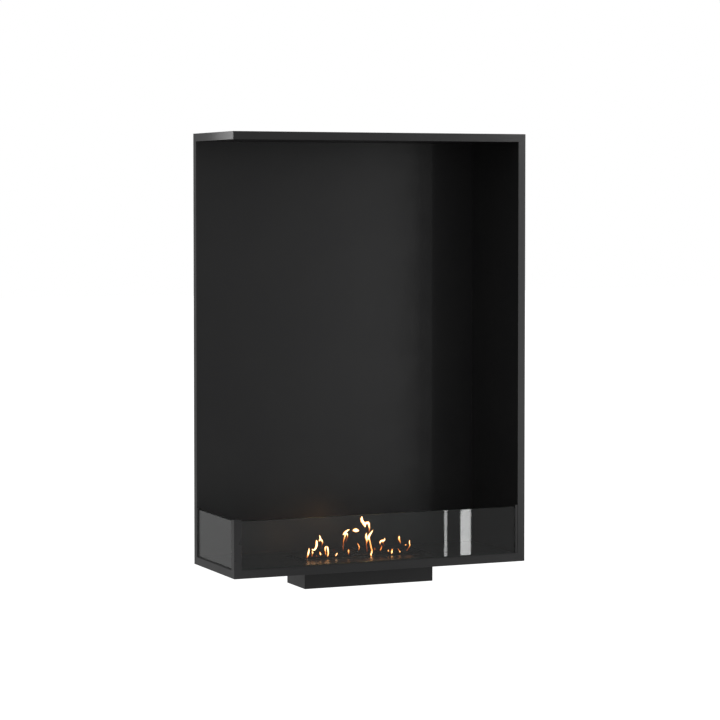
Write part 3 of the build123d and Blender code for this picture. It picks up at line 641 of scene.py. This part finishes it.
def build_flame(name, strokes, fire, middle, hearth):
    """One group of tongues as a piece that rides on the burner."""
    mesh = bmesh.new()
    heat_layer = mesh.verts.layers.float.new("fire_heat")
    for points in strokes:
        add_tongue(mesh, heat_layer, points, middle, hearth)
    bmesh.ops.recalc_face_normals(mesh, faces=list(mesh.faces))
    flame = add_mesh(name, mesh, fire)
    for polygon in flame.data.polygons:
        polygon.use_smooth = True
    smooth = flame.modifiers.new("round", "SUBSURF")
    smooth.levels = 2
    smooth.render_levels = 2
    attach(flame, "burner")
    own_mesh(flame)


fire = flame_material()
hearth_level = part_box("burner_plate")[1].z
depth_swing = 0.004  # of the flames, in front of the slot's middle and behind it
depth_turn = 2.4  # radians from each flame to the next
for number, (name, strokes) in enumerate(tongues.items()):
    depth = depth_swing * math.sin(depth_turn * number)
    build_flame(name, strokes, fire, slot_middle + Vector((0, depth, 0)), hearth_level)


# Studio: a pale floor well below the insert, which hangs on a wall that isn't shown, a tall soft light near
# the right front, three small ones for the frame's corners, and two tall strips that the front pane mirrors.

def open_view(tree):
    """The rays, those already mirrored, and those that see the studio directly or straight through glass."""
    rays = tree.nodes.new("ShaderNodeLightPath").outputs
    mirrored = maths(tree, "GREATER_THAN", rays["Glossy Depth"], 0.5)
    through = maths(tree, "SUBTRACT", rays["Is Transmission Ray"], mirrored)
    return rays, mirrored, maths(tree, "MAXIMUM", rays["Is Camera Ray"], through)


def studio_floor():
    """The pale floor, lit to the background's white where the camera sees it, with the insert's shadow."""
    half_width = 30.0  # of the floor
    drop = 0.5  # below the burner box
    darker, lighter = (0.50, 0.50, 0.50), (0.52, 0.52, 0.52)
    glow = 0.90  # that the camera sees on top of the floor's own shade
    mesh = bmesh.new()
    level = Matrix.Translation((0, 0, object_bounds()[0].z - drop))
    bmesh.ops.create_grid(mesh, x_segments=1, y_segments=1, size=half_width, matrix=level)
    material, tree, shader, place = new_material("pale_floor")
    mottle = noise(tree, place, scale=3.0, detail=3.0)
    feed(tree, shader.inputs["Base Color"], blend_colour(tree, mottle, darker, lighter))
    shader.inputs["Roughness"].default_value = 0.9
    shader.inputs["Specular IOR Level"].default_value = 0.1
    _, _, seen = open_view(tree)
    lift = tree.nodes.new("ShaderNodeEmission")
    feed(tree, lift.inputs["Strength"], maths(tree, "MULTIPLY", seen, glow))
    both = tree.nodes.new("ShaderNodeAddShader")
    tree.links.new(shader.outputs["BSDF"], both.inputs[0])
    tree.links.new(lift.outputs["Emission"], both.inputs[1])
    # the floor's underside is clear, for a look at the insert from below
    clear = tree.nodes.new("ShaderNodeBsdfTransparent")
    underside = tree.nodes.new("ShaderNodeNewGeometry").outputs["Backfacing"]
    choose_surface(tree, underside, both.outputs["Shader"], clear.outputs["BSDF"])
    floor = add_mesh("studio_floor", mesh, material)
    floor.visible_glossy = False
    floor.visible_transmission = False
    floor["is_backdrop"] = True


def choose_value(tree, factor, first, second):
    """A value that is the first where the factor is 0, and the second where it is 1."""
    node = tree.nodes.new("ShaderNodeMix")
    for label, value in (("Factor", factor), ("A", first), ("B", second)):
        feed(tree, node.inputs[label], value)
    return node.outputs["Result"]


def studio_world():
    """White to the camera and through glass. Gloss mirrors a dim room, and a dimmer one after a pane."""
    bright_side = (0.75, 0.66, 0.0)  # the way that the room is lightest
    room_light = 0.45  # on matt faces
    world = bpy.data.worlds.new("studio")
    world.use_nodes = True
    bpy.context.scene.world = world
    tree = world.node_tree
    background = tree.nodes["Background"]
    towards = tree.nodes.new("ShaderNodeVectorMath")
    towards.operation = "DOT_PRODUCT"
    towards.inputs[1].default_value = bright_side
    tree.links.new(tree.nodes.new("ShaderNodeTexCoord").outputs["Generated"], towards.inputs[0])
    room = spread(tree, towards.outputs["Value"], to=(0.285, 0.38), over=(-0.3, 0.2))
    rays, mirrored, seen = open_view(tree)
    after_glass = maths(tree, "MULTIPLY", mirrored, rays["Is Transmission Ray"])
    room = maths(tree, "MULTIPLY", room, spread(tree, after_glass, to=(1.0, 0.5), over=(0.0, 1.0)))
    reflected = maths(tree, "MAXIMUM", rays["Is Glossy Ray"], rays["Is Transmission Ray"])
    around = choose_value(tree, reflected, room_light, room)
    feed(tree, background.inputs["Strength"], choose_value(tree, seen, around, 1.0))
    feed(tree, background.inputs["Color"], (1.0, 1.0, 1.0))


def area_light(name, place, target, width, height, power, mirrored=True):
    """A rectangular light, aimed at a target. One that isn't mirrored adds no bright spot to gloss."""
    light = bpy.data.lights.new(name, "AREA")
    light.shape = "RECTANGLE"
    light.size = width
    light.size_y = height
    light.energy = power
    lamp = add_object(name, light)
    lamp.location = place
    lamp.rotation_euler = (Vector(target) - Vector(place)).to_track_quat("-Z", "Y").to_euler()
    lamp.visible_camera = False
    lamp.visible_glossy = mirrored
    lamp.visible_transmission = mirrored


def photo_camera():
    """A long lens at the left front, a little above the insert's middle and tipped down."""
    tip = 2.378  # degrees down
    turn = 23.489  # degrees to the right
    camera = bpy.data.cameras.new("photo_camera")
    camera.lens = 126.43
    camera.shift_y = -0.08
    camera.clip_end = 200.0
    eye = add_object("photo_camera", camera)
    eye.location = (-2.579, -6.079, 0.388)
    eye.rotation_euler = (math.radians(90 - tip), 0, math.radians(-turn))
    bpy.context.scene.camera = eye


studio_floor()
studio_world()
area_light("tall_right", (1.20, -1.26, 0.60), (0.80, -0.35, 0.60), width=0.50, height=2.40, power=4.65)
area_light("left_glint", (-0.52, -0.01, 0.56), (-0.40, -0.285, 0.56), width=0.08, height=0.12, power=0.065)
area_light(
    "right_corner", (0.52, -0.45, 0.60), (0.385, -0.29, 0.54), width=0.10, height=0.10, power=0.21,
    mirrored=False,
)
area_light(
    "left_corner", (-0.46, -0.42, -0.60), (-0.385, -0.29, -0.54), width=0.08, height=0.08, power=0.07,
    mirrored=False,
)
# the strips stand where the front pane mirrors them into the photo's view
area_light(
    "strip_wide", (1.6733, -3.2519, -0.05), (0.2333, -0.2829, -0.05), width=0.039, height=2.0, power=1.37
)
area_light(
    "strip_narrow", (1.5931, -3.2635, -0.05), (0.1771, -0.2825, -0.05), width=0.0105, height=2.0, power=0.26
)
photo_camera()
bpy.context.scene.view_settings.view_transform = "Standard"
